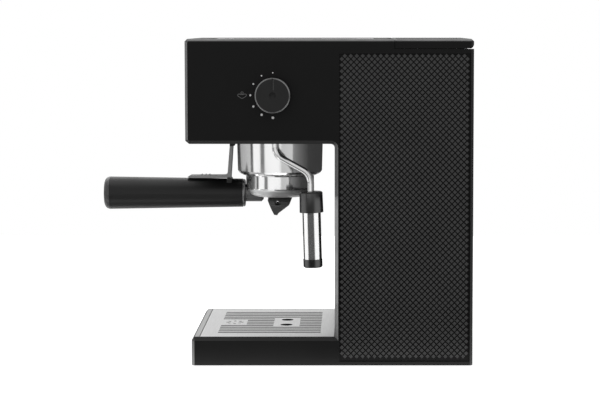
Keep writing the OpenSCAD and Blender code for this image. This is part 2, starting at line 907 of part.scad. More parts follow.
module handle_grip() {
    length = handle_reach - cap_l - handle_inner - 0.2;
    ear_r = 2.4;
    slot_r = clip_boss_r + 0.7;
    color([0.12, 0.12, 0.12])
        difference() {
            union() {
                rod_y(handle_r1, -handle_reach + cap_l, length, z = handle_z, r2 = handle_r0);
                // Ears for the clip's pin.
                both_sides() {
                    rod_x(ear_r, clip_w / 2 + 0.3, 1.9, y = clip_axis[0], z = clip_axis[1]);
                    block([clip_w / 2 + 0.3, clip_axis[0] - ear_r, handle_z + 7],
                        [clip_w / 2 + 2.2, clip_axis[0] + ear_r, clip_axis[1]]);
                }
            }
            // Clearance for the clip's elbow.
            block([-clip_w / 2 - 0.3, clip_axis[0] - slot_r, clip_axis[1] - slot_r],
                [clip_w / 2 + 0.3, clip_axis[0] + slot_r, clip_axis[1] + 6]);
            // The pin is pressed in from the left and stops inside the right ear.
            rod_x(clip_pin_r, -clip_w, 1.5 * clip_w + 1.6, y = clip_axis[0], z = clip_axis[1]);
            rod_y(4.1, -handle_reach + 16, handle_reach, z = handle_z);
            rod_y(7.5, -handle_reach - cut, 17 + cut, z = handle_z);
        }
}

module handle_cap() {
    e = 5.2;
    color([0.2, 0.2, 0.2])
        translate([0, -handle_reach, handle_z])
            rotate([-90, 0, 0])
                rotate_extrude()
                    polygon(concat([[0, 0]],
                        arc([handle_r1 - e, e], e, -90, 0, 6),
                        [[handle_r1, cap_l - 0.2], [7.3, cap_l - 0.2], [7.3, 12], [5.5, 12],
                            [5.5, cap_l - 1], [0, cap_l - 1]]));
}

module handle_ferrule() {
    color([0.6, 0.6, 0.6])
        translate([0, -handle_inner, handle_z])
            rotate([-90, 0, 0])
                difference() {
                    rotate_extrude()
                        polygon([[0, 0], [13.1, 0], [13.1, 1.4], [12.3, 2.2], [9.4, 2.2], [9.4, 2.4],
                            [0, 2.4]]);
                    translate([0, 0, -cut])
                        cylinder(h = 5, r = 4.1);
                }
}

// Long bolt that clamps the grip against the neck.
module handle_bolt() {
    color([0.65, 0.65, 0.65])
        difference() {
            union() {
                rod_y(6.5, -handle_reach + 12.1, 3.8, z = handle_z);
                rod_y(4, -handle_reach + 15.9, handle_reach - 15.9 - handle_inner, z = handle_z);
                rod_y(3.5, -handle_inner, 14, z = handle_z);
            }
            rod_y(2.9, -handle_reach + 10, 4.4, z = handle_z);
        }
}

clip_top = 203;
clip_tip_h = 5.4;
upright_t = 1.5;        // half thickness of the upright
thumb_end = -88;

// Bent strip that holds the basket while the puck is knocked out.
module basket_clip() {
    y = clip_axis[0];
    z = clip_z;
    t = clip_t / 2;
    elbow = 3.4;
    top = clip_top - clip_tip_h;
    color([0.3, 0.3, 0.3])
        difference() {
            union() {
                across(-clip_w / 2, clip_w / 2)
                    polygon(concat(
                        [[thumb_end + 2, z - t], [y + upright_t, z - t],
                            [y + upright_t + clip_lean, top], [y - upright_t + clip_lean, top]],
                        arc([y - upright_t - elbow, z + t + elbow], elbow, 0, -90, 5),
                        [[thumb_end + 3, z + t], [thumb_end, z - t + 0.9]]));
                // Boss for the pin.
                rod_x(clip_boss_r, -clip_w / 2, clip_w, y = y, z = clip_axis[1]);
                block([-clip_w / 2, y - clip_boss_r, clip_axis[1]], [clip_w / 2, y + clip_boss_r, z - t]);
                for (i = [0 : 2])
                    rod_x(0.7, -clip_w / 2 + 1, clip_w - 2, y = -74.8 + 3.6 * i, z = z + t);
            }
            rod_x(clip_pin_r + 0.05, -clip_w, 2 * clip_w, y = y, z = clip_axis[1]);
        }
}

module clip_tip() {
    front = clip_axis[0] + clip_lean - upright_t;
    rear = clip_axis[0] + clip_lean + upright_t;
    low = clip_top - clip_tip_h;
    color([0.04, 0.04, 0.04])
        across(-clip_w / 2, clip_w / 2)
            polygon([[front, low], [rear, low], [rear + 1.4, low + 0.2],
                [-clip_tip_y - 0.2, clip_top - 2.4], [-clip_tip_y, clip_top - 1.2],
                [-clip_tip_y - 0.5, clip_top], [front, clip_top]]);
}

module clip_pin() {
    color([0.7, 0.7, 0.7])
        rod_x(clip_pin_r, -clip_w / 2 - 2.1, clip_w + 3.6, y = clip_axis[0], z = clip_axis[1]);
}

// ---------- steam wand ----------

// Y and Z of the ends of the wand's two bends.
function wand_p1() = [wand_y + wand_bend_1 * (1 - sin(wand_slope)),
    wand_drop_z - wand_bend_1 * cos(wand_slope)];
function wand_p2() = wand_p1() + wand_run * [cos(wand_slope), -sin(wand_slope)];
function wand_p3() = wand_p2() + wand_bend_2 * [1 - sin(wand_slope), -cos(wand_slope)];

// Points of the wand's axis from the first bend to the end of the second one.
wand_path = [for (p = concat(
    arc([wand_y + wand_bend_1, wand_drop_z], wand_bend_1, 180, 270 - wand_slope, 8),
    arc(wand_p3() - [wand_bend_2, 0], wand_bend_2, 90 - wand_slope, 0, 8)))
    [wand_x, p[0], p[1]]];

module wand_tube() {
    p3 = wand_p3();
    low = 148;
    color([0.8, 0.8, 0.8])
        union() {
            rod_z(wand_r, wand_drop_z, 216 - wand_drop_z, x = wand_x, y = wand_y);
            hose(wand_path, wand_r, [1, 0, 0], 24);
            rod_z(wand_r, low, p3[1] - low, x = wand_x, y = p3[0]);
        }
}

// Swivel socket above the head's underside.
module wand_nut() {
    color([0.7, 0.65, 0.45])
        translate([wand_x, wand_y, head_z + panel_t])
            difference() {
                union() {
                    cylinder(h = 3, r = 8.4);
                    cylinder(h = 11, r = 6.5);
                }
                translate([0, 0, -cut])
                    cylinder(h = 9.6, r = wand_r + 0.05);
                translate([0, 0, 8])
                    cylinder(h = 5, r = 1.6);
            }
}

// The sleeve's parts lean back a little below the last bend.
module on_wand() {
    p3 = wand_p3();
    translate([wand_x, p3[0], p3[1]])
        rotate([wand_lean, 0, 0])
            children();
}

grip_z = [-26.8, -7.6];
sleeve_end = -70.4;
tip_end = -78.1;

module wand_grip() {
    color([0.14, 0.14, 0.14])
        on_wand()
            difference() {
                rotate_extrude()
                    polygon([[0, grip_z[0]], [wand_grip_r, grip_z[0]], [wand_grip_r - 0.3, grip_z[1] - 1],
                        [wand_grip_r - 1.3, grip_z[1]], [0, grip_z[1]]]);
                translate([0, 0, grip_z[0] - cut])
                    cylinder(h = 40, r = wand_r + 0.4);
            }
}

module wand_sleeve() {
    color([0.85, 0.85, 0.85])
        on_wand()
            translate([0, 0, sleeve_end])
                difference() {
                    cylinder(h = grip_z[0] - sleeve_end, r = sleeve_r);
                    translate([0, 0, -cut])
                        cylinder(h = grip_z[0] - sleeve_end - 2, r = sleeve_r - 1.2);
                    cylinder(h = 60, r = wand_r + 0.4);
                }
}

module wand_tip() {
    color([0.06, 0.06, 0.06])
        on_wand()
            difference() {
                rotate_extrude()
                    polygon([[0, tip_end], [sleeve_r - 0.6, tip_end], [sleeve_r + 0.4, tip_end + 1],
                        [sleeve_r + 0.4, sleeve_end], [0, sleeve_end]]);
                translate([0, 0, tip_end - cut])
                    cylinder(h = 12, r = 5);
            }
}

// ---------- steam valve ----------

module steam_knob() {
    x0 = half_w + knob_gap;
    color([0.15, 0.15, 0.15])
        difference() {
            translate([x0, knob_y, knob_z])
                rotate([0, 90, 0])
                    rotate_extrude($fn = 96)
                        polygon([[0, 0], [knob_r, 0], [knob_r, knob_l - 1.2], [knob_r - 1.2, knob_l],
                            [0, knob_l]]);
            // Thumb dimple and pointer groove.
            translate([x0 + knob_l + 2.2, knob_y, knob_z])
                sphere(r = 3.8);
            block([x0 + knob_l - 0.7, knob_y - 0.45, knob_z + knob_r - 11],
                [x0 + knob_l + cut, knob_y + 0.45, knob_z + knob_r + cut]);
            rod_x(3, x0 - cut, 7 + cut, y = knob_y, z = knob_z);
        }
}

module valve_spindle() {
    color([0.75, 0.7, 0.5])
        union() {
            rod_x(2.95, 80, half_w + knob_gap + 6.8 - 80, y = knob_y, z = knob_z);
            rod_x(2, 70, 10, y = knob_y, z = knob_z);
        }
}

module steam_valve() {
    color([0.75, 0.65, 0.35])
        difference() {
            union() {
                rod_x(9, 52, 34 - 0.3, y = knob_y, z = knob_z);
                rod_z(5, knob_z - 14, 10, x = wand_x, y = knob_y);
                rod_x(5, 47, 6, y = knob_y, z = knob_z);
            }
            rod_x(3, 78, 20, y = knob_y, z = knob_z);
            rod_x(4.6, 60, 18.5, y = knob_y, z = knob_z);
            rod_x(1.6, 45, 16, y = knob_y, z = knob_z);
            rod_z(1.6, knob_z - 16, 12, x = wand_x, y = knob_y);
        }
}

// Needle that the spindle's thread draws back from its seat.
module valve_needle() {
    color([0.7, 0.7, 0.72])
        difference() {
            union() {
                rod_x(4.55, 62.4, 11.6, y = knob_y, z = knob_z);
                rod_x(0.9, 59.4, 3.1, y = knob_y, z = knob_z, r2 = 3);
            }
            rod_x(2.05, 66.5, 10, y = knob_y, z = knob_z);
        }
}

// ---------- water circuit ----------

module boiler() {
    z0 = boiler_z[0];
    z1 = boiler_z[1];
    color([0.7, 0.7, 0.68])
        difference() {
            union() {
                rotate_extrude()
                    polygon([[0, z0], [46, z0], [46, z0 + 4], [boiler_r, z0 + 4], [boiler_r, z1 - 8],
                        [boiler_r - 8, z1], [0, z1]]);
                rod_x(4.5, 36, 10.8, y = knob_y, z = knob_z);
                for (s = [-1, 1])
                    rod_z(4, z1, 7, x = 14 * s, y = 20);
                rod_z(5, z1, 6, x = -18, y = -14);
            }
            rod_x(1.6, 30, 20, y = knob_y, z = knob_z);
            rotate_extrude()
                polygon([[0, z0 + 6], [boiler_r - 3, z0 + 6], [boiler_r - 3, z1 - 10],
                    [boiler_r - 10, z1 - 3], [0, z1 - 3]]);
        }
}

module thermostats() {
    color([0.85, 0.83, 0.75])
        for (p = [[-12, 8], [16, -6]])
            union() {
                rod_z(6.5, boiler_z[1], 5, x = p[0], y = p[1]);
                block([p[0] - 4, p[1] - 1, boiler_z[1] + 5], [p[0] + 4, p[1] + 1, boiler_z[1] + 11]);
            }
}

// Vibration pump lying across the column.
module pump() {
    color([0.35, 0.32, 0.3])
        union() {
            block([-22, pump_y - 17, pump_z - 17], [20, pump_y + 17, pump_z + 17]);
            rod_x(11, -52, 30, y = pump_y, z = pump_z);
            rod_x(4, -64, 12, y = pump_y, z = pump_z);
            rod_x(12, 20, 24, y = pump_y, z = pump_z);
            rod_x(5, 44, 16, y = pump_y, z = pump_z);
        }
}

module pump_mounts() {
    color([0.1, 0.1, 0.1])
        for (x = [-44, 32])
            difference() {
                block([x - 4, pump_y - 16, 5.8], [x + 4, pump_y + 16, pump_z + 16]);
                rod_x(x < 0 ? 11.05 : 12.05, x - 6, 12, y = pump_y, z = pump_z);
                block([x - 6, pump_y - 10, 20], [x + 6, pump_y + 10, pump_z - 17]);
            }
}

// Tank seat to pump inlet.
module suction_hose() {
    color([0.85, 0.85, 0.82])
        hose(smooth([[0, tank_axis_y, 42], [0, tank_axis_y, 40], [0, tank_axis_y, 38],
            [0, tank_axis_y - 6, 31], [0, 118, 30], [0, 100, 31], [-30, 88, 34], [-60, 82, 44],
            [-74, pump_y, 70], [-76, pump_y, 92], [-70, pump_y, pump_z],
            [-66, pump_y, pump_z], [-64, pump_y, pump_z]], 3), 3, [1, -1, 0.4]);
}

// Pump outlet to boiler inlet.
module pressure_hose() {
    color([0.9, 0.9, 0.9])
        hose(smooth([[60, pump_y, pump_z], [63, pump_y, pump_z], [70, pump_y, pump_z + 4],
            [74, pump_y, pump_z + 20], [66, pump_y, 150], [10, pump_y, 168], [-40, pump_y - 2, 176],
            [riser[0], riser[1], 200], [riser[0], riser[1], 240], [-56, 62, 276], [-40, 30, 290],
            [-22, -4, 292], [-18, -14, 289], [-18, -14, 287], [-18, -14, 284]], 3),
            2.2, [0.1, 1, 0.15]);
}

// Steam valve to the wand's swivel socket.
module steam_pipe() {
    low = head_z + panel_t + 11;
    color([0.75, 0.5, 0.35])
        rod_z(2.2, low, knob_z - 14 - low, x = wand_x, y = (knob_y + wand_y) / 2);
}

// ---------- controls ----------

module control_board() {
    color([0.1, 0.35, 0.2])
        union() {
            block([-56, board_y, button_z - 16], [56, board_y + 1.6, button_z + 24]);
            for (i = [-1 : 1]) {
                block([i * button_pitch - 3, board_y - 1.2, button_z - 3],
                    [i * button_pitch + 3, board_y, button_z + 3]);
                rod_y(1.6, board_y - 1.8, 0.7, x = i * button_pitch, z = button_z);
            }
            block([-40, board_y + 1.6, button_z + 6], [-22, board_y + 12, button_z + 20]);
            block([10, board_y + 1.6, button_z + 4], [30, board_y + 10, button_z + 18]);
        }
}

module push_button(i) {
    y = -head_reach;
    color([0.16, 0.16, 0.16])
        translate([i * button_pitch, y, button_z])
            rotate([-90, 0, 0])
                rotate_extrude()
                    polygon([[0, 0.5], [button_r - 3, 0.3], [button_r - 0.8, 0], [button_r, 0.8],
                        [button_r, panel_t + 0.4], [button_r + 1.4, panel_t + 0.4],
                        [button_r + 1.4, panel_t + 1.8], [2.5, panel_t + 1.8],
                        [2.5, board_y - 1.8 - button_travel - 0.4 - y],
                        [0, board_y - 1.8 - button_travel - 0.4 - y]]);
}

module power_button() {
    push_button(-1);
}

module brew_button() {
    push_button(0);
}

module steam_button() {
    push_button(1);
}

side_panel_right();
side_panel_left();
texture_panel_right();
texture_panel_left();
top_cover();
cup_plate();
head_front_panel();
head_bottom_plate();
column_front_panel();
rear_panel();
base_pan();
inner_frame();
rubber_feet();
casing_screws();
cord_gland();
water_tank();
tank_lid();
lid_hinge_pins();
tank_valve();
tank_seat();
tank_seal();
drip_tray();
tray_trim();
drip_grate();
group_cover();
group_head();
group_gasket();
shower_screen();
shower_screw();
portafilter_body();
filter_basket();
basket_spring();
twin_spout();
handle_grip();
handle_cap();
handle_ferrule();
handle_bolt();
basket_clip();
clip_tip();
clip_pin();
wand_tube();
wand_nut();
wand_grip();
wand_sleeve();
wand_tip();
steam_knob();
valve_spindle();
steam_valve();
valve_needle();
boiler();
thermostats();
pump();
pump_mounts();
suction_hose();
pressure_hose();
steam_pipe();
control_board();
power_button();
brew_button();
steam_button();
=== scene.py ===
"""Espresso machine: materials, fine relief and studio. Metres, +X right, -Y front, +Z up."""
import math

import bmesh
import bpy
from mathutils import Matrix, Vector

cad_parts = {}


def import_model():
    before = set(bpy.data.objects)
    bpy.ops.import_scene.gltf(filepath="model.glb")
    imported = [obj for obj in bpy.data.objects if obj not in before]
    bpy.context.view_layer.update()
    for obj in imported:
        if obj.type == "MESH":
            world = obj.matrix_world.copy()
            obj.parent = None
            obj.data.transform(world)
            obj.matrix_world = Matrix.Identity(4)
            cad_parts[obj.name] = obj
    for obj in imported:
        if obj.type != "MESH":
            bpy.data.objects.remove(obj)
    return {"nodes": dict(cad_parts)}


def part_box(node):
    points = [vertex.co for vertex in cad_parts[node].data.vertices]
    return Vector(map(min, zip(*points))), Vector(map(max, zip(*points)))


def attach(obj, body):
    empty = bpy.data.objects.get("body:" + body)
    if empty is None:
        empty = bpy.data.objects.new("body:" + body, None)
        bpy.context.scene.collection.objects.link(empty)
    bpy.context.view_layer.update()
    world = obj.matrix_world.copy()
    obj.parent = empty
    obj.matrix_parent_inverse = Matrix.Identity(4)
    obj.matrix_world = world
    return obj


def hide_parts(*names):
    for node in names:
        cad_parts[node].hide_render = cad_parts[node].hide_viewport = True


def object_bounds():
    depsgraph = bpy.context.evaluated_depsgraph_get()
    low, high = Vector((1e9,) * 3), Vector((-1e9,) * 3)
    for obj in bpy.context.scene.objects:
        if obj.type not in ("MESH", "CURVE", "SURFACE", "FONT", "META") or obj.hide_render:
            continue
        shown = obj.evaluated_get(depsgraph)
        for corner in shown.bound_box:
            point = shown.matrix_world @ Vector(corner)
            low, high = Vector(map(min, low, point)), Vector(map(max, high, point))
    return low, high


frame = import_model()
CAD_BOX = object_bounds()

MM = 0.001

# Where finishes and painted shade change on two CAD parts, in metres.
BOWL_TOP = 158 * MM         # the portafilter's straight ring ends and its bowl starts
NECK_HALF = 8.4 * MM        # just beyond the radius of the portafilter's neck
NECK_REAR = -16 * MM        # the neck is painted dark as shade in front of this Y
NECK_TOP = 160.8 * MM       # and below this height
# Rectangles on the drip grate: half width, front and rear.
SLOTS = (65.5 * MM, -56 * MM, 39.6 * MM)
DRAIN_PATCH = (26 * MM, -6.2 * MM, 18.8 * MM)   # without slots, under the spouts
FRONT_PATCH = (17 * MM, -57 * MM, -32 * MM)     # without slots, at the front


# ---------- node helpers ----------

def node(tree, kind, **settings):
    """Adds a node and sets its properties."""
    made = tree.nodes.new("ShaderNode" + kind)
    for name, value in settings.items():
        setattr(made, name, value)
    return made


def feed(tree, socket, source):
    """Sets a socket to a number or colour, or links it to another node's output."""
    if isinstance(source, bpy.types.NodeSocket):
        tree.links.new(source, socket)
    else:
        socket.default_value = source


def maths(tree, operation, *values):
    """The result of a Math node."""
    made = node(tree, "Math", operation=operation)
    for socket, value in zip(made.inputs, values):
        feed(tree, socket, value)
    return made.outputs[0]


def mapped(tree, value, low, high, to_low=0.0, to_high=1.0, smooth=False):
    """The value, mapped from one range to another and clamped."""
    made = node(tree, "MapRange", interpolation_type="SMOOTHSTEP" if smooth else "LINEAR")
    for socket, source in zip(made.inputs, (value, low, high, to_low, to_high)):
        feed(tree, socket, source)
    return made.outputs[0]


def mixed(tree, share, colour_a, colour_b):
    """A blend of two colours."""
    made = node(tree, "Mix", data_type="RGBA")
    feed(tree, made.inputs[0], share)
    feed(tree, made.inputs[6], colour_a)
    feed(tree, made.inputs[7], colour_b)
    return made.outputs[2]


def grey(value, tint=(1.0, 1.0, 1.0)):
    """An opaque colour from a grey level and a slight tint."""
    return (value * tint[0], value * tint[1], value * tint[2], 1.0)


def place(tree, stretch=(1.0, 1.0, 1.0)):
    """Coordinates in the piece's own frame, stretched along the axes."""
    made = node(tree, "Mapping")
    made.inputs["Scale"].default_value = stretch
    tree.links.new(node(tree, "TexCoord").outputs["Object"], made.inputs["Vector"])
    return made.outputs[0]


def noise(tree, size, stretch=(1.0, 1.0, 1.0), detail=3.0, rough=0.5):
    """Noise from 0 to 1 with features of the given size in metres."""
    made = node(tree, "TexNoise")
    tree.links.new(place(tree, stretch), made.inputs["Vector"])
    made.inputs["Scale"].default_value = 1.0 / size
    made.inputs["Detail"].default_value = detail
    made.inputs["Roughness"].default_value = rough
    return made.outputs[0]


def axes(tree, kind="Object"):
    """X, Y and Z of the piece's own coordinates or of its normal."""
    split = node(tree, "SeparateXYZ")
    tree.links.new(node(tree, "TexCoord").outputs[kind], split.inputs[0])
    return split.outputs


def edges(tree, width):
    """A mask, 1 along the piece's edges and 0 on its faces, and the normal of softened edges."""
    rounded = node(tree, "Bevel", samples=4)
    rounded.inputs["Radius"].default_value = width
    plain = node(tree, "NewGeometry")
    dot = node(tree, "VectorMath", operation="DOT_PRODUCT")
    tree.links.new(rounded.outputs[0], dot.inputs[0])
    tree.links.new(plain.outputs["Normal"], dot.inputs[1])
    return mapped(tree, dot.outputs["Value"], 0.995, 0.9), rounded.outputs[0]


def lean(tree, axis=None):
    """1 on faces that lean between the axes: chamfers. With an axis, rings around that axis count too."""
    x, y, z = (maths(tree, "ABSOLUTE", out) for out in axes(tree, "Normal"))
    if axis is None:
        straight = maths(tree, "MAXIMUM", maths(tree, "MAXIMUM", x, y), z)
    else:
        along = (x, y, z)[axis]
        around = maths(tree, "SQRT", maths(tree, "SUBTRACT", 1.0, maths(tree, "MULTIPLY", along, along)))
        straight = maths(tree, "MAXIMUM", along, around)
    return mapped(tree, straight, 0.97, 0.85)


def bump(tree, height, depth, normal=None):
    """A bump of the given depth in metres, over a softened normal if there is one."""
    made = node(tree, "Bump")
    made.inputs["Distance"].default_value = depth
    tree.links.new(height, made.inputs["Height"])
    if normal is not None:
        tree.links.new(normal, made.inputs["Normal"])
    return made.outputs[0]


def shader(name):
    """A new material, its node tree and its Principled shader."""
    material = bpy.data.materials.new(name)
    material.use_nodes = True
    tree = material.node_tree
    return material, tree, tree.nodes["Principled BSDF"]


# ---------- materials ----------

def moulded(name, colour, edge_wear_and_highlight, roughness, specular, depth=0.02 * MM):
    """Moulded plastic or rubber with a fine grain, slight clouds and paler edges, partly wear and partly a
    painted edge highlight.
    """
    material, tree, bsdf = shader(name)
    cloud = noise(tree, 28 * MM, detail=4.0)
    grains = noise(tree, 0.5 * MM, detail=2.0)
    spread = 0.12
    low = [c * (1 - spread) for c in colour[:3]] + [1.0]
    high = [c * (1 + spread) for c in colour[:3]] + [1.0]
    body = mixed(tree, mapped(tree, cloud, 0.3, 0.7), low, high)
    edge, soft = edges(tree, 0.25 * MM)
    # Paler edges: partly wear, partly a painted edge highlight.
    edge_patchiness = maths(tree, "MULTIPLY", edge, mapped(tree, noise(tree, 9 * MM), 0.35, 0.65, 0.35, 1.0))
    feed(tree, bsdf.inputs["Base Color"], mixed(tree, edge_patchiness, body, edge_wear_and_highlight))
    shine = mapped(tree, cloud, 0.25, 0.75, roughness - 0.05, roughness + 0.05)
    speckle = mapped(tree, grains, 0.3, 0.7, -0.04, 0.04)
    feed(tree, bsdf.inputs["Roughness"], maths(tree, "ADD", shine, speckle))
    bsdf.inputs["Specular IOR Level"].default_value = specular
    feed(tree, bsdf.inputs["Normal"], bump(tree, grains, depth, soft))
    return material


def casing_black():
    """Satin black powder coat, with a painted highlight on the chamfers along the panel's edges and paler
    edges, partly wear and partly a painted edge highlight.
    """
    material, tree, bsdf = shader("casing_black")
    cloud = noise(tree, 60 * MM, detail=4.0)
    grains = noise(tree, 0.35 * MM, detail=2.0)
    body = mixed(tree, mapped(tree, cloud, 0.3, 0.7), grey(0.0076), grey(0.0094))
    edge_patchiness = mapped(tree, noise(tree, 14 * MM), 0.3, 0.7, 0.85, 1.0)
    # Painted highlight on the chamfers: upright edges are bright, less so by the base, and dark where they
    # face the rear.
    # Of the level edges only the top one is bright.
    turned, up = axes(tree, "Normal")[1:3]
    height = axes(tree)[2]
    dark = 0.08
    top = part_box("top_cover")[1].z
    level = mapped(tree, height, top - 1.9 * MM, top - 1.3 * MM, dark, 0.55)
    front = mapped(tree, height, 30 * MM, 45 * MM, 0.5, 0.75)
    upright = mapped(tree, turned, 0.1, 0.3, front, dark)
    chamfer_light_by_side = mapped(tree, maths(tree, "ABSOLUTE", up), 0.3, 0.6, upright, level)
    chamfer_highlight = maths(tree, "MULTIPLY", maths(tree, "MULTIPLY", lean(tree), edge_patchiness), chamfer_light_by_side)
    edge, soft = edges(tree, 0.25 * MM)
    # Paler edges: partly wear, partly a painted edge highlight.
    edge_wear_and_highlight = maths(tree, "MULTIPLY", edge, mapped(tree, noise(tree, 11 * MM), 0.35, 0.65, 0.3, 1.0))
    painted = mixed(tree, edge_wear_and_highlight, body, grey(0.03))
    # The chamfers take a pale metallic colour as a painted highlight.
    feed(tree, bsdf.inputs["Base Color"], mixed(tree, chamfer_highlight, painted, grey(0.32)))
    feed(tree, bsdf.inputs["Metallic"], chamfer_highlight)
    shine = mapped(tree, cloud, 0.25, 0.75, 0.36, 0.42)
    feed(tree, bsdf.inputs["Roughness"], shine)
    bsdf.inputs["Specular IOR Level"].default_value = 0.08
    feed(tree, bsdf.inputs["Normal"], bump(tree, grains, 0.01 * MM, soft))
    return material


def knurled_black():
    """The inlay's diamonds: satin, with painted shade in the recesses between them and on the flats,
    darker towards the floor.
    """
    material, tree, bsdf = shader("knurled_black")
    cloud = noise(tree, 40 * MM, detail=4.0)
    grains = noise(tree, 0.4 * MM, detail=2.0)
    body = mixed(tree, mapped(tree, cloud, 0.3, 0.7), grey(0.056), grey(0.064))
    x, y, z = axes(tree)
    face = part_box("texture_panel_right")[1].x
    depth = maths(tree, "SUBTRACT", face, maths(tree, "ABSOLUTE", x))
    # Painted shade: the recesses are near black, and the flats darken towards the floor.
    shade_towards_floor = mapped(tree, z, 5 * MM, 70 * MM, 0.6, 1.0)
    lit_flats = maths(tree, "MULTIPLY", mapped(tree, depth, 0.3 * MM, 0.16 * MM), shade_towards_floor)
    feed(tree, bsdf.inputs["Base Color"], mixed(tree, lit_flats, grey(0.004), body))
    feed(tree, bsdf.inputs["Roughness"], mapped(tree, grains, 0.3, 0.7, 0.42, 0.52))
    bsdf.inputs["Specular IOR Level"].default_value = 0.1
    feed(tree, bsdf.inputs["Normal"], bump(tree, grains, 0.015 * MM))
    return material


def knob_black():
    """Satin black plastic with a pale turned ring around its face, made brighter at its left and right
    sides as a painted highlight.
    """
    material, tree, bsdf = shader("knob_black")
    cloud = noise(tree, 20 * MM, detail=4.0)
    grains = noise(tree, 0.4 * MM, detail=2.0)
    body = mixed(tree, mapped(tree, cloud, 0.3, 0.7), grey(0.021), grey(0.026))
    knob = frame["nodes"]["steam_knob"]
    low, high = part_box("steam_knob")
    centre = knob.matrix_world.inverted() @ ((low + high) / 2)
    shift = node(tree, "Mapping")
    shift.inputs["Location"].default_value = (0.0, -centre.y, -centre.z)
    shift.inputs["Scale"].default_value = (0.0, 1.0, 1.0)
    tree.links.new(node(tree, "TexCoord").outputs["Object"], shift.inputs["Vector"])
    reach = node(tree, "VectorMath", operation="LENGTH")
    tree.links.new(shift.outputs[0], reach.inputs[0])
    radius = (high.z - low.z) / 2
    rim = mapped(tree, reach.outputs["Value"], radius * 0.925, radius * 0.945)
    # Painted highlight: the ring is brighter where it faces left and right than at its top and bottom.
    side_highlight = maths(tree, "ABSOLUTE", axes(tree, "Normal")[1])
    rim = maths(tree, "MULTIPLY", rim, mapped(tree, side_highlight, 0.1, 0.65, 0.35, 1.0))
    ring = maths(tree, "MULTIPLY", maths(tree, "MULTIPLY", lean(tree, 0), rim),
                 mapped(tree, noise(tree, 6 * MM), 0.3, 0.7, 0.8, 1.0))
    feed(tree, bsdf.inputs["Base Color"], mixed(tree, ring, body, grey(0.28)))
    feed(tree, bsdf.inputs["Metallic"], maths(tree, "MULTIPLY", ring, 0.8))
    feed(tree, bsdf.inputs["Roughness"], mapped(tree, cloud, 0.25, 0.75, 0.33, 0.4))
    bsdf.inputs["Specular IOR Level"].default_value = 0.1
    feed(tree, bsdf.inputs["Normal"], bump(tree, grains, 0.008 * MM))
    return material


def metal(name, colour, roughness, depth, size=1.2 * MM, pure=1.0):
    """Metal with faint smears in its polish and slightly brighter edges, a painted highlight."""
    material, tree, bsdf = shader(name)
    smear = noise(tree, 18 * MM, detail=5.0)
    grains = noise(tree, size, detail=3.0)
    edge_highlight = [min(1.0, c * 1.15) for c in colour[:3]] + [1.0]
    dull = [c * 0.94 for c in colour[:3]] + [1.0]
    body = mixed(tree, mapped(tree, smear, 0.3, 0.7), dull, colour)
    edge, soft = edges(tree, 0.2 * MM)
    # Brighter edges: a painted highlight.
    feed(tree, bsdf.inputs["Base Color"], mixed(tree, edge, body, edge_highlight))
    bsdf.inputs["Metallic"].default_value = pure
    shine = mapped(tree, smear, 0.3, 0.7, roughness * 0.8, roughness * 1.2)
    feed(tree, bsdf.inputs["Roughness"], shine)
    feed(tree, bsdf.inputs["Normal"], bump(tree, grains, depth, soft))
    return material


def bowl_steel():
    """The portafilter: a polished ring, a satin bowl below it and a rougher neck painted darker as shade.
    """
    material, tree, bsdf = shader("bowl_steel")
    smear = noise(tree, 18 * MM, detail=5.0)
    grains = noise(tree, 1.2 * MM, detail=3.0)
    x, y, z = axes(tree)
    satin = mapped(tree, z, BOWL_TOP, BOWL_TOP - 1.5 * MM)
    beside = mapped(tree, maths(tree, "ABSOLUTE", x), NECK_HALF + 0.3 * MM, NECK_HALF)
    ahead = mapped(tree, y, NECK_REAR + 2 * MM, NECK_REAR)
    below = mapped(tree, z, NECK_TOP + 0.4 * MM, NECK_TOP)
    neck = maths(tree, "MULTIPLY", maths(tree, "MULTIPLY", beside, ahead), below)
    body = mixed(tree, mapped(tree, smear, 0.3, 0.7), grey(0.75), grey(0.8))
    edge, soft = edges(tree, 0.2 * MM)
    # Paler edges: partly wear, partly a painted edge highlight.
    edge_wear_and_highlight = mixed(tree, edge, body, grey(0.9))
    # The neck's dark grey is painted shade.
    feed(tree, bsdf.inputs["Base Color"], mixed(tree, neck, edge_wear_and_highlight, grey(0.2)))
    bsdf.inputs["Metallic"].default_value = 0.92
    polished = mapped(tree, smear, 0.3, 0.7, 0.1, 0.145)
    dull = maths(tree, "MAXIMUM", maths(tree, "MULTIPLY", satin, 0.5), maths(tree, "MULTIPLY", neck, 0.3))
    feed(tree, bsdf.inputs["Roughness"], maths(tree, "MAXIMUM", polished, dull))
    feed(tree, bsdf.inputs["Normal"], bump(tree, grains, 0.0006 * MM, soft))
    return material


def patch(tree, x, y, bounds):
    """1 inside a rectangle around the middle plane, given by its half width, front and rear."""
    half_width, front, rear = bounds
    beside = maths(tree, "LESS_THAN", maths(tree, "ABSOLUTE", x), half_width)
    behind = maths(tree, "GREATER_THAN", y, front)
    ahead = maths(tree, "LESS_THAN", y, rear)
    return maths(tree, "MULTIPLY", beside, maths(tree, "MULTIPLY", behind, ahead))


def slot_field(tree):
    """1 on the strips between the grate's slots, which get painted shade and stay darker than the plain
    patches.
    """
    x, y, z = axes(tree)
    plain = maths(tree, "MAXIMUM", patch(tree, x, y, DRAIN_PATCH), patch(tree, x, y, FRONT_PATCH))
    return maths(tree, "MULTIPLY", patch(tree, x, y, SLOTS), maths(tree, "SUBTRACT", 1.0, plain))


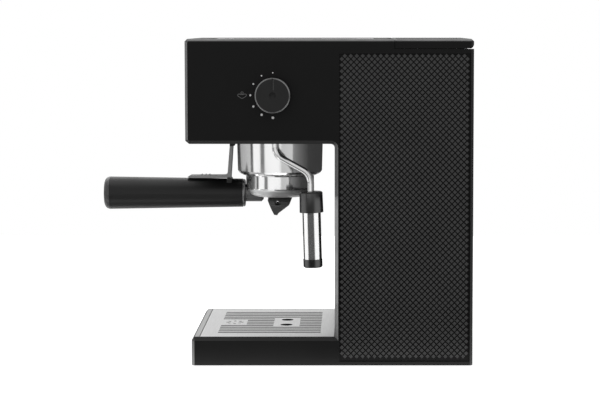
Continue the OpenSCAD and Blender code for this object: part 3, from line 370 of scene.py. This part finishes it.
def brushed(name, colour, roughness, depth, along, grate=False):
    """Steel with a fine grain along one axis. The grate has painted shade on its slot walls and over its
    slot field.
    """
    material, tree, bsdf = shader(name)
    fine = [26.0, 26.0, 26.0]
    fine[along] = 0.5
    coarse = [9.0, 9.0, 9.0]
    coarse[along] = 0.25
    hair = noise(tree, 4 * MM, stretch=fine, detail=4.0, rough=0.7)
    band = noise(tree, 6 * MM, stretch=coarse, detail=2.0)
    low = [c * 0.88 for c in colour[:3]] + [1.0]
    shade = mixed(tree, mapped(tree, band, 0.3, 0.7), low, colour)
    if grate:
        # Painted shade: the slot walls are near black, and the slot field is darkened.
        wall_shade = [c * 0.1 for c in colour[:3]] + [1.0]
        level = mapped(tree, maths(tree, "ABSOLUTE", axes(tree, "Normal")[2]), 0.3, 0.6)
        slot_field_shade = node(tree, "Mix", data_type="RGBA", blend_type="MULTIPLY")
        feed(tree, slot_field_shade.inputs[0], slot_field(tree))
        feed(tree, slot_field_shade.inputs[6], mixed(tree, level, wall_shade, shade))
        feed(tree, slot_field_shade.inputs[7], grey(0.72))
        shade = slot_field_shade.outputs[2]
    feed(tree, bsdf.inputs["Base Color"], shade)
    bsdf.inputs["Metallic"].default_value = 1.0
    feed(tree, bsdf.inputs["Roughness"], mapped(tree, hair, 0.2, 0.8, roughness - 0.08, roughness + 0.08))
    feed(tree, bsdf.inputs["Normal"], bump(tree, hair, depth))
    return material


def clear_plastic():
    """Smoke-tinted clear copolyester with faint moulding ripples."""
    material, tree, bsdf = shader("clear_plastic")
    ripple = noise(tree, 12 * MM, detail=2.0)
    smear = noise(tree, 30 * MM, detail=4.0)
    feed(tree, bsdf.inputs["Base Color"], mixed(tree, smear, (0.62, 0.68, 0.72, 1), (0.76, 0.81, 0.84, 1)))
    feed(tree, bsdf.inputs["Roughness"], mapped(tree, smear, 0.3, 0.7, 0.05, 0.14))
    bsdf.inputs["Transmission Weight"].default_value = 0.85
    bsdf.inputs["IOR"].default_value = 1.45
    feed(tree, bsdf.inputs["Normal"], bump(tree, ripple, 0.05 * MM))
    return material


def silicone_hose():
    """Milky silicone with a soft sheen."""
    material, tree, bsdf = shader("silicone_hose")
    cloud = noise(tree, 8 * MM, detail=3.0)
    feed(tree, bsdf.inputs["Base Color"], mixed(tree, cloud, (0.62, 0.61, 0.56, 1), (0.8, 0.79, 0.74, 1)))
    feed(tree, bsdf.inputs["Roughness"], mapped(tree, cloud, 0.3, 0.7, 0.3, 0.45))
    bsdf.inputs["Subsurface Weight"].default_value = 0.2
    bsdf.inputs["Subsurface Radius"].default_value = (0.003, 0.003, 0.002)
    feed(tree, bsdf.inputs["Normal"], bump(tree, cloud, 0.05 * MM))
    return material


def circuit_board():
    """Green solder resist over copper tracks."""
    material, tree, bsdf = shader("circuit_board")
    tracks = node(tree, "TexBrick")
    tree.links.new(place(tree, (1.0, 1.0, 1.0)), tracks.inputs["Vector"])
    tracks.inputs["Scale"].default_value = 160.0
    tracks.inputs["Color1"].default_value = (0.01, 0.10, 0.035, 1)
    tracks.inputs["Color2"].default_value = (0.012, 0.12, 0.04, 1)
    tracks.inputs["Mortar"].default_value = (0.03, 0.2, 0.07, 1)
    feed(tree, bsdf.inputs["Base Color"], tracks.outputs["Color"])
    feed(tree, bsdf.inputs["Roughness"], mapped(tree, noise(tree, 3 * MM), 0.3, 0.7, 0.25, 0.4))
    feed(tree, bsdf.inputs["Normal"], bump(tree, tracks.outputs["Fac"], 0.04 * MM))
    return material


def printed_white():
    """White ink, slightly broken at its edge."""
    material, tree, bsdf = shader("printed_white")
    cloud = noise(tree, 0.5 * MM, detail=3.0)
    feed(tree, bsdf.inputs["Base Color"], mixed(tree, cloud, grey(0.66), grey(0.84)))
    feed(tree, bsdf.inputs["Roughness"], mapped(tree, cloud, 0.3, 0.7, 0.4, 0.6))
    feed(tree, bsdf.inputs["Normal"], bump(tree, cloud, 0.01 * MM))
    return material


def printed_grey():
    """Thin grey ink of the steam symbol."""
    material, tree, bsdf = shader("printed_grey")
    cloud = noise(tree, 0.5 * MM, detail=3.0)
    feed(tree, bsdf.inputs["Base Color"], mixed(tree, cloud, grey(0.09), grey(0.14)))
    feed(tree, bsdf.inputs["Roughness"], mapped(tree, cloud, 0.3, 0.7, 0.45, 0.6))
    feed(tree, bsdf.inputs["Normal"], bump(tree, cloud, 0.01 * MM))
    return material


def all_materials():
    """One material for each slot of the record."""
    return {
        "casing_black": casing_black(),
        "knurled_black": knurled_black(),
        "brushed_steel": brushed("brushed_steel", grey(0.66), 0.34, 0.012 * MM, along=0, grate=True),
        "sheet_steel": brushed("sheet_steel", grey(0.42), 0.38, 0.01 * MM, along=2),
        "black_rubber": moulded("black_rubber", grey(0.016), grey(0.03), 0.6, 0.3),
        "clear_plastic": clear_plastic(),
        "grey_plastic": moulded("grey_plastic", grey(0.16), grey(0.25), 0.45, 0.5),
        "seal_rubber": moulded("seal_rubber", (0.32, 0.05, 0.035, 1), (0.4, 0.12, 0.1, 1), 0.5, 0.4),
        "polished_steel": metal("polished_steel", grey(0.8), 0.12, 0.0006 * MM, pure=0.92),
        "cast_aluminium": metal("cast_aluminium", grey(0.55), 0.42, 0.06 * MM, size=0.8 * MM),
        "dark_chrome": metal("dark_chrome", grey(0.24), 0.36, 0.002 * MM, pure=0.7),
        "handle_black": moulded("handle_black", grey(0.006), grey(0.025), 0.4, 0.32, depth=0.008 * MM),
        "handle_cap_grey": moulded("handle_cap_grey", grey(0.05), grey(0.1), 0.3, 0.5, depth=0.008 * MM),
        "brass": metal("brass", (0.62, 0.42, 0.16, 1), 0.3, 0.01 * MM),
        "grip_rubber": metal("grip_rubber", grey(0.085), 0.34, 0.004 * MM, pure=0.9),
        "knob_black": knob_black(),
        "pump_body": moulded("pump_body", (0.09, 0.07, 0.06, 1), (0.25, 0.22, 0.2, 1), 0.4, 0.5),
        "silicone_hose": silicone_hose(),
        "copper_pipe": metal("copper_pipe", (0.72, 0.32, 0.18, 1), 0.25, 0.01 * MM),
        "circuit_board": circuit_board(),
    }


MATERIALS = all_materials()


def dress_frame():
    """Gives each CAD node the material of its record slot; the portafilter's body has its own finish."""
    for obj in frame["nodes"].values():
        for holder in obj.material_slots:
            holder.material = MATERIALS[holder.material.name.split(".")[0]]
    bowl = bowl_steel()
    for holder in frame["nodes"]["portafilter_body"].material_slots:
        holder.material = bowl


# ---------- relief and print ----------

def piece(name, mesh, body, material):
    """Links a finished mesh as a piece that rides on a body."""
    obj = bpy.data.objects.new(name, mesh)
    bpy.context.scene.collection.objects.link(obj)
    mesh.materials.append(material)
    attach(obj, body)
    return obj


def knurl(side, node_name):
    """The column's inlay: staggered square studs with dished tops over a flat plate."""
    low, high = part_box(node_name)
    face = high.x if side > 0 else low.x
    back = low.x if side > 0 else high.x
    relief = 0.9 * MM
    step_y = 2.71 * MM
    step_z = 2.75 * MM
    root_half = 2.2 * MM        # half diagonal of a stud where it meets the plate
    top_half = 2.0 * MM         # half diagonal of its top
    sunk = 0.1 * MM             # how far a stud reaches into the plate
    dish = 0.1 * MM
    margin = 2.1 * MM           # least distance from the plate's top and bottom to a stud's middle
    rear_margin = 0.9 * MM      # and from its rear edge
    floor = face - side * relief
    y0 = low.y + root_half
    z0 = high.z - margin
    columns = int((high.y - rear_margin - y0) / step_y) + 1
    rows = int((z0 - low.z - margin) / step_z) + 1
    points, faces = [], []

    def shell(corners, quads):
        """Adds a closed shell; its faces are turned round on the left side."""
        first = len(points)
        points.extend(corners)
        faces.extend([tuple(first + k for k in (quad if side > 0 else quad[::-1])) for quad in quads])

    ring = [(low.y, low.z), (high.y, low.z), (high.y, high.z), (low.y, high.z)]
    shell([(back, y, z) for y, z in ring] + [(floor, y, z) for y, z in ring],
          [(3, 2, 1, 0), (4, 5, 6, 7), (0, 1, 5, 4), (1, 2, 6, 5), (2, 3, 7, 6), (3, 0, 4, 7)])
    turns = [(0, -1), (1, 0), (0, 1), (-1, 0)]
    for i in range(columns):
        for j in range(rows):
            if (i + j) % 2 == 0:
                continue
            y = y0 + i * step_y
            z = z0 - j * step_z
            root = [(floor - side * sunk, y + a * root_half, z + b * root_half) for a, b in turns]
            top = [(face, y + a * top_half, z + b * top_half) for a, b in turns]
            shell(root + top + [(face - side * dish, y, z)],
                  [(3, 2, 1, 0)] + [(k, (k + 1) % 4, 4 + (k + 1) % 4, 4 + k) for k in range(4)]
                  + [(4 + k, 4 + (k + 1) % 4, 8) for k in range(4)])
    mesh = bpy.data.meshes.new(node_name + "_relief")
    mesh.from_pydata(points, [], faces)
    mesh.update()
    obj = piece(node_name + "_relief", mesh, "casing", MATERIALS["knurled_black"])
    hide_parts(node_name)
    return obj


def disc(mesh, centre, radius, thick):
    """Adds a flat ink dot that faces +X, with a rounded rim."""
    sides = 24
    rings = [(0.0, radius), (thick * 0.7, radius), (thick, radius * 0.9)]
    loops = []
    for rise, r in rings:
        loops.append([mesh.verts.new((centre[0] + rise, centre[1] + r * math.cos(2 * math.pi * k / sides),
                                      centre[2] + r * math.sin(2 * math.pi * k / sides)))
                      for k in range(sides)])
    mesh.faces.new(loops[0][::-1])
    for below, above in zip(loops, loops[1:]):
        for k in range(sides):
            mesh.faces.new((below[k], below[(k + 1) % sides], above[(k + 1) % sides], above[k]))
    mesh.faces.new(loops[-1])


def dial_dots():
    """Seven dots that grow around the steam knob, from shut at the top to full steam below."""
    low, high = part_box("steam_knob")
    centre = (low + high) / 2
    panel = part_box("side_panel_right")[1].x
    ring = 20.4 * MM
    ink = 0.05 * MM
    made = bmesh.new()
    for k in range(7):
        angle = math.radians(90 + 30 * k)
        radius = (0.6 + 0.1 * k) * MM
        spot = (panel, centre.y + ring * math.cos(angle), centre.z + ring * math.sin(angle))
        disc(made, spot, radius, ink)
    mesh = bpy.data.meshes.new("dial_dots")
    made.to_mesh(mesh)
    made.free()
    return piece("dial_dots", mesh, "casing", printed_white())


def steam_symbol():
    """Outline of a small puff of steam beside the dial: a flat cloud with a round curl on top."""
    low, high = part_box("steam_knob")
    centre = (low + high) / 2
    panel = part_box("side_panel_right")[1].x
    line = 0.26 * MM
    from_knob = 27.9 * MM
    flattened = 0.15            # thickness of the line of ink, as a share of its width
    # Outlines in millimetres.
    cloud = [(0, -3.1), (2.0, -1.9), (3.7, -0.7), (4.2, 0.4), (3.2, 1.2), (1.8, 1.1), (1.0, 0.3), (0, 1.0),
             (-1.0, 0.3), (-1.8, 1.1), (-3.2, 1.2), (-4.2, 0.4), (-3.7, -0.7), (-2.0, -1.9)]
    curl_r, curl_z = 1.15, 2.1
    turns = [math.radians(a) for a in range(0, 360, 45)]
    curl = [(curl_r * math.cos(a), curl_z + curl_r * math.sin(a)) for a in turns]
    curve = bpy.data.curves.new("steam_symbol", "CURVE")
    curve.dimensions = "3D"
    curve.bevel_depth = line
    curve.bevel_resolution = 2
    for outline in (cloud, curl):
        spline = curve.splines.new("NURBS")
        spline.points.add(len(outline) - 1)
        for point, (a, b) in zip(spline.points, outline):
            point.co = (0, a * MM, b * MM, 1)
        spline.use_cyclic_u = True
        spline.order_u = 3
    obj = bpy.data.objects.new("steam_symbol", curve)
    obj.location = (panel, centre.y - from_knob, centre.z)
    obj.scale = (flattened, 1, 1)
    bpy.context.scene.collection.objects.link(obj)
    curve.materials.append(printed_grey())
    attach(obj, "casing")
    return obj


def pointer():
    """A thin pale ridge beside the knob's pointer groove."""
    low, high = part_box("steam_knob")
    centre = (low + high) / 2
    radius = (high.z - low.z) / 2
    thick, wide, long = 0.16 * MM, 0.32 * MM, 9.2 * MM
    beside_groove = 0.75 * MM
    from_rim = 6.4 * MM         # knob's rim to the line's middle
    made = bmesh.new()
    bmesh.ops.create_cube(made, size=1.0)
    for vert in made.verts:
        vert.co = Vector((vert.co.x * thick, vert.co.y * wide, vert.co.z * long))
    bmesh.ops.bevel(made, geom=made.edges[:], offset=0.05 * MM, segments=2, affect="EDGES")
    mesh = bpy.data.meshes.new("pointer_line")
    spot = Vector((high.x, centre.y + beside_groove, centre.z + radius - from_rim))
    made.transform(Matrix.Translation(spot))
    made.to_mesh(mesh)
    made.free()
    return piece("pointer_line", mesh, "knob", printed_grey())


# ---------- studio ----------

# Radiance that polished metal sees around the horizon: degrees from +X, turning towards the front.
HORIZON = [(-180, 0.05), (-146, 0.06), (-142, 0.38), (-86, 0.68), (-83, 0.05), (-77, 0.05), (-75, 1.25),
           (-54, 1.25), (-51, 0.19), (-42, 0.19), (-39, 1.25), (3, 1.25), (6, 0.68), (38, 0.8), (42, 0.23),
           (72, 0.05), (180, 0.04)]


def ring_light(tree, direction):
    """Bright and dark cards around the horizon."""
    split = node(tree, "SeparateXYZ")
    tree.links.new(direction, split.inputs[0])
    angle = maths(tree, "ARCTAN2", split.outputs[1], split.outputs[0])
    turn = maths(tree, "ADD", maths(tree, "DIVIDE", angle, 2 * math.pi), 0.5)
    ramp = node(tree, "ValToRGB")
    tree.links.new(turn, ramp.inputs[0])
    stops = ramp.color_ramp.elements
    stops[0].color = grey(HORIZON[0][1])
    stops[1].color = grey(HORIZON[-1][1])
    for degrees, value in HORIZON[1:-1]:
        stop = stops.new((degrees + 180) / 360)
        stop.color = grey(value)
    return ramp.outputs[0], split.outputs[2]


def world():
    """White backdrop for the camera, cards for reflections and even light for everything else."""
    made = bpy.data.worlds.new("studio")
    bpy.context.scene.world = made
    made.use_nodes = True
    tree = made.node_tree
    back = tree.nodes["Background"]
    ray = node(tree, "LightPath")
    cards, height = ring_light(tree, node(tree, "TexCoord").outputs["Generated"])
    over = mixed(tree, mapped(tree, height, 0.03, 0.12, smooth=True), cards, grey(0.8))
    under = mixed(tree, mapped(tree, height, -0.3, -0.5, smooth=True), over, grey(0.6))
    soft = mixed(tree, ray.outputs["Is Diffuse Ray"], under, grey(0.62))
    feed(tree, back.inputs["Color"], mixed(tree, ray.outputs["Is Camera Ray"], soft, grey(1.0)))
    back.inputs["Strength"].default_value = 1.0


def floor():
    """A pale floor, even to the camera; for everything else it glows, a painted pool of light beside the
    machine with painted shade under it.
    """
    bpy.ops.mesh.primitive_grid_add(x_subdivisions=8, y_subdivisions=8, size=2.0)
    obj = bpy.context.object
    obj.name = "floor"
    material, tree, bsdf = shader("pale_floor")
    cloud = noise(tree, 0.5, detail=2.0)
    feed(tree, bsdf.inputs["Base Color"], mixed(tree, cloud, grey(0.4), grey(0.44)))
    bsdf.inputs["Roughness"].default_value = 0.8
    bsdf.inputs["Specular IOR Level"].default_value = 0.0
    bsdf.inputs["Emission Color"].default_value = grey(1.0)
    across = maths(tree, "ABSOLUTE", axes(tree)[0])
    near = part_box("side_panel_right")[1].x
    lit, faint = 3.0, 0.1       # strength beside the machine and further out
    below = 0.03                # share of it that is left under the machine
    plain = 0.9                 # even strength that the camera sees
    strip = mapped(tree, across, near + 2 * MM, near + 42 * MM, lit, faint, smooth=True)
    glow = maths(tree, "MULTIPLY", strip, mapped(tree, across, near - 8 * MM, near, below, 1.0))
    seen = node(tree, "LightPath").outputs["Is Camera Ray"]
    feed(tree, bsdf.inputs["Emission Strength"], mapped(tree, seen, 0.0, 1.0, glow, plain))
    obj.data.materials.append(material)
    return obj


def softbox(name, azimuth, elevation, distance, size, power, target):
    """A square area light that faces the target from the given direction."""
    lamp = bpy.data.lights.new(name, "AREA")
    lamp.shape = "RECTANGLE"
    lamp.size, lamp.size_y = size
    lamp.energy = power
    obj = bpy.data.objects.new(name, lamp)
    az, el = math.radians(azimuth), math.radians(elevation)
    direction = Vector((math.cos(el) * math.cos(az), math.cos(el) * math.sin(az), math.sin(el)))
    obj.location = target + direction * distance
    obj.rotation_euler = direction.to_track_quat("Z", "Y").to_euler()
    obj.visible_camera = False
    bpy.context.scene.collection.objects.link(obj)
    return obj


def card(name, corners, level, fade=None):
    """A small upright reflector or flag that only reflections see.

    fade gives X where the glow starts to change, X where it ends, and its strength at both.
    """
    mesh = bpy.data.meshes.new(name)
    mesh.from_pydata(corners, [], [(0, 1, 2, 3)])
    obj = bpy.data.objects.new(name, mesh)
    bpy.context.scene.collection.objects.link(obj)
    material = bpy.data.materials.new(name)
    material.use_nodes = True
    tree = material.node_tree
    glow = node(tree, "Emission")
    glow.inputs["Color"].default_value = grey(level)
    if fade is not None:
        feed(tree, glow.inputs["Strength"], mapped(tree, axes(tree)[0], *fade))
    tree.links.new(glow.outputs[0], tree.nodes["Material Output"].inputs["Surface"])
    mesh.materials.append(material)
    obj.visible_camera = False
    obj.visible_diffuse = False
    obj.visible_shadow = False
    obj.visible_transmission = False
    return obj


def wand_cards():
    """Two white cards and two dark flags around the lower half of the steam wand."""
    low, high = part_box("wand_sleeve")
    centre = (low + high) / 2
    white_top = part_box("wand_grip")[1].z - 0.006
    dark_top = high.z + 0.008
    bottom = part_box("wand_tip")[0].z - 0.03
    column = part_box("column_front_panel")[0].y - 0.0015
    gap = column - centre.y

    def upright(name, start, end, top, level):
        """A card between two points around the sleeve's axis, up to the given height."""
        (x0, y0), (x1, y1) = start, end
        x0, x1 = centre.x + x0, centre.x + x1
        y0, y1 = centre.y + y0, centre.y + y1
        card(name, [(x0, y0, bottom), (x1, y1, bottom), (x1, y1, top), (x0, y0, top)], level)

    # Ends in metres from the sleeve's axis.
    upright("flag_front", (0.060, -0.070), (0.060, 0.028), dark_top, 0.07)
    upright("card_left", (0.044, -0.060), (-0.0185, -0.060), white_top, 1.3)
    upright("flag_left", (-0.0185, -0.060), (-0.036, gap), dark_top, 0.05)
    upright("card_right", (0.033, gap), (0.0052, gap), white_top, 1.3)


def column_card():
    """A faint card along the column, whose glow fades inwards, for the rear half of the brew group."""
    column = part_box("column_front_panel")[0].y - 0.001
    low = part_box("wand_grip")[1].z - 0.003
    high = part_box("group_cover")[1].z
    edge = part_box("side_panel_right")[1].x
    corners = [(-edge, column, low), (edge, column, low), (edge, column, high), (-edge, column, high)]
    card("column_card", corners, 1.0, fade=(0.030, 0.084, 0.05, 0.27))


def lights():
    """Overhead softbox and two soft fills."""
    low, high = CAD_BOX
    middle = (Vector(low) + Vector(high)) / 2
    softbox("overhead", 0, 90, 1.1, (1.3, 1.3), 5, middle)
    softbox("rear_fill", 140, 40, 1.6, (1.2, 0.9), 5, middle)
    softbox("left_fill", -150, 40, 1.6, (1.2, 0.9), 5, middle)


def camera():
    """Side view from the knob side, a little above the machine."""
    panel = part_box("side_panel_right")[1].x
    distance = 1.727        # panel to lens, in metres
    along = 0.0679          # behind the brew axis
    height = 0.3117
    pitch = 4.727           # degrees below level
    lens = bpy.data.cameras.new("camera")
    lens.sensor_width = 36.0
    lens.lens = 114.2
    lens.shift_x = -0.085
    lens.shift_y = -0.0278
    obj = bpy.data.objects.new("camera", lens)
    obj.location = (panel + distance, along, height)
    obj.rotation_euler = (math.radians(90 - pitch), 0, math.radians(90))
    bpy.context.scene.collection.objects.link(obj)
    bpy.context.scene.camera = obj
    return obj


def look():
    """Plain display transform, so that the greys are the materials' own."""
    view = bpy.context.scene.view_settings
    view.view_transform = "Standard"
    view.look = "None"


dress_frame()
knurl(1, "texture_panel_right")
knurl(-1, "texture_panel_left")
dial_dots()
steam_symbol()
pointer()
floor()
world()
lights()
wand_cards()
column_card()
camera()
look()
